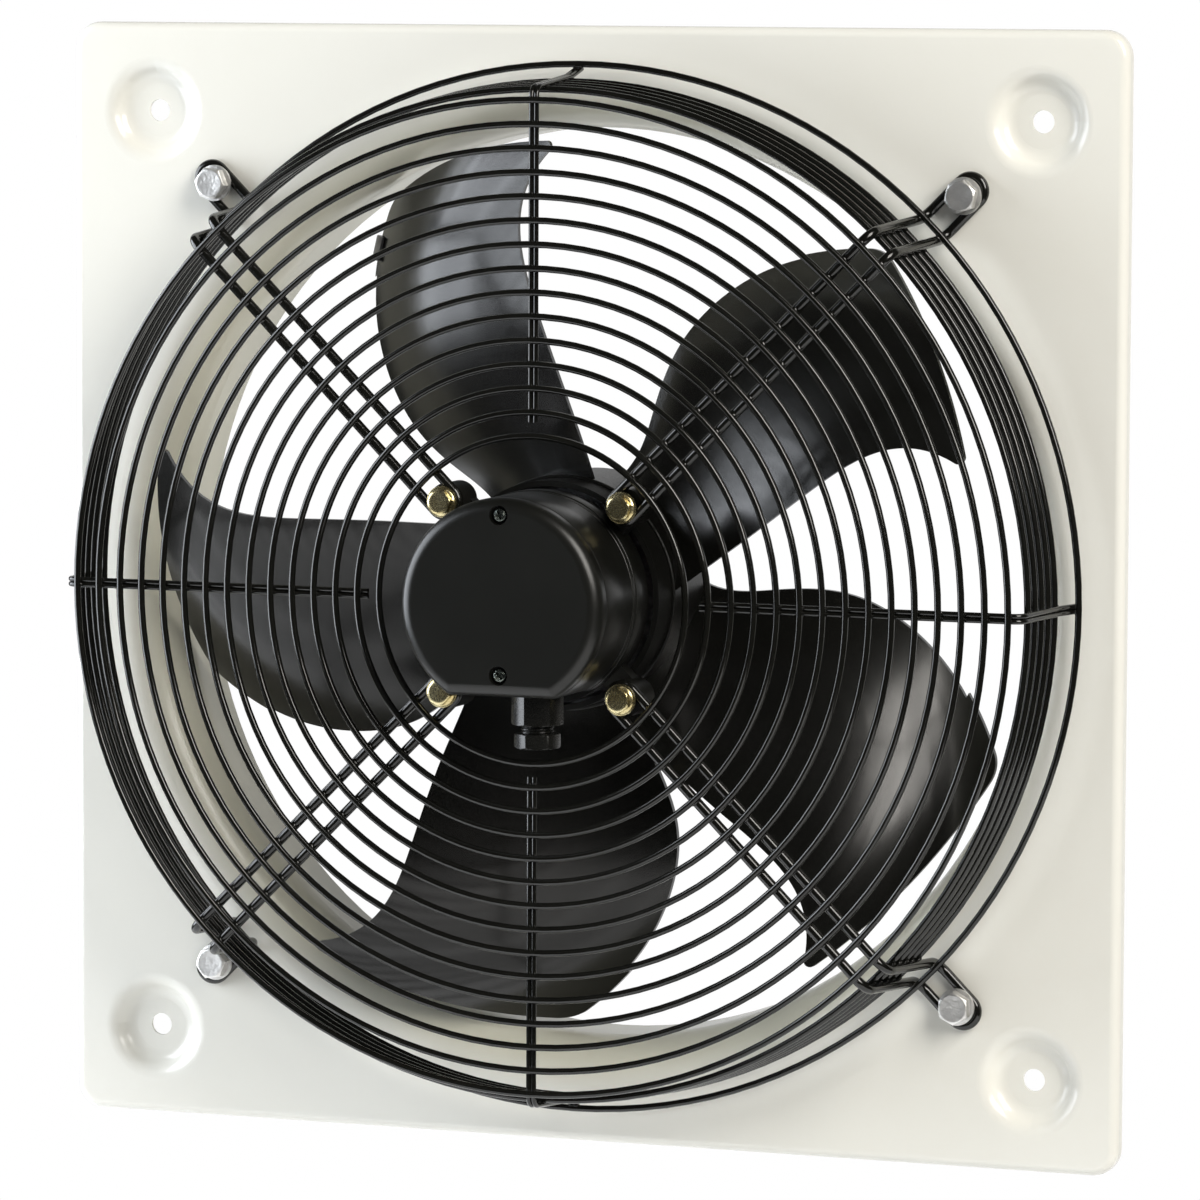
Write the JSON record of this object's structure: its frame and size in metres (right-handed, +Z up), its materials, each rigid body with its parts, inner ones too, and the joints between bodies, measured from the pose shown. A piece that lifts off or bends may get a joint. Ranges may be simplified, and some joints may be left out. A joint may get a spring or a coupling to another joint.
{
  "type": "wall-mounted axial fan",
  "caption": "Square wall-plate axial fan with swept sheet blades on an external-rotor motor, in a bell-mouth throat behind a round wire guard that carries the motor.",
  "frame": {"origin": "centre of the wall-hole rectangle, on the wall plane", "axes": "+Z up, fan axis along Y: the guard and terminal box look along -Y and the throat runs back along +Y"},
  "size_m": [0.5, 0.1557, 0.5],
  "materials": {
    "plate_paint": "cream white gloss powder coat",
    "guard_paint": "black semi-gloss dip coat on wire",
    "zinc_steel": "bright zinc plate",
    "yellow_zinc": "yellow passivated zinc",
    "motor_casting": "black painted die casting",
    "rotor_paint": "black satin paint",
    "blade_paint": "black satin paint on formed sheet",
    "machined_steel": "turned steel",
    "bearing_steel": "ground bearing steel",
    "spring_steel": "blued spring steel",
    "lamination": "stacked electrical sheet",
    "winding": "enamelled copper",
    "box_plastic": "black satin moulding",
    "seal_rubber": "black rubber",
    "screw_steel": "dull zinc plate",
    "block_plastic": "natural moulding",
    "capacitor_can": "white plastic can",
    "gland_plastic": "black polyamide"
  },
  "bodies": {
    "frame": {"wall_plate": "plate_paint", "strut_upper_right": "guard_paint", "strut_upper_left": "guard_paint", "strut_lower_left": "guard_paint", "strut_lower_right": "guard_paint", "stay_right": "guard_paint", "stay_top": "guard_paint", "stay_left": "guard_paint", "stay_bottom": "guard_paint", "front_rings": "guard_paint", "inner_rings": "guard_paint", "side_rings": "guard_paint", "base_ring": "guard_paint", "plate_bolts": "zinc_steel", "plate_washers": "zinc_steel", "plate_nuts": "zinc_steel", "motor_washers": "zinc_steel", "motor_screws": "yellow_zinc", "motor_flange": "motor_casting", "bearing_tube": "machined_steel", "front_bearing": "bearing_steel", "rear_bearing": "bearing_steel", "bearing_spring": "spring_steel", "stator_core": "lamination", "stator_winding": "winding", "terminal_box": "box_plastic", "terminal_cover": "box_plastic", "terminal_gasket": "seal_rubber", "gland_seal": "seal_rubber", "cover_screws": "screw_steel", "box_screws": "screw_steel", "terminal_block": "block_plastic", "run_capacitor": "capacitor_can", "gland_body": "gland_plastic", "gland_nut": "gland_plastic", "gland_locknut": "gland_plastic"},
    "impeller": {"rotor_can": "rotor_paint", "rotor_core": "lamination", "motor_shaft": "machined_steel", "shaft_circlip": "spring_steel", "impeller_hub": "motor_casting", "blade_1": "blade_paint", "blade_2": "blade_paint", "blade_3": "blade_paint", "blade_4": "blade_paint", "blade_5": "blade_paint"}
  },
  "joints": [
    {"name": "impeller_spin", "type": "hinge", "parent": "frame", "child": "impeller", "pos_m": [0, 0, 0], "axis": [0, 1, 0], "continuous": true}
  ]
}
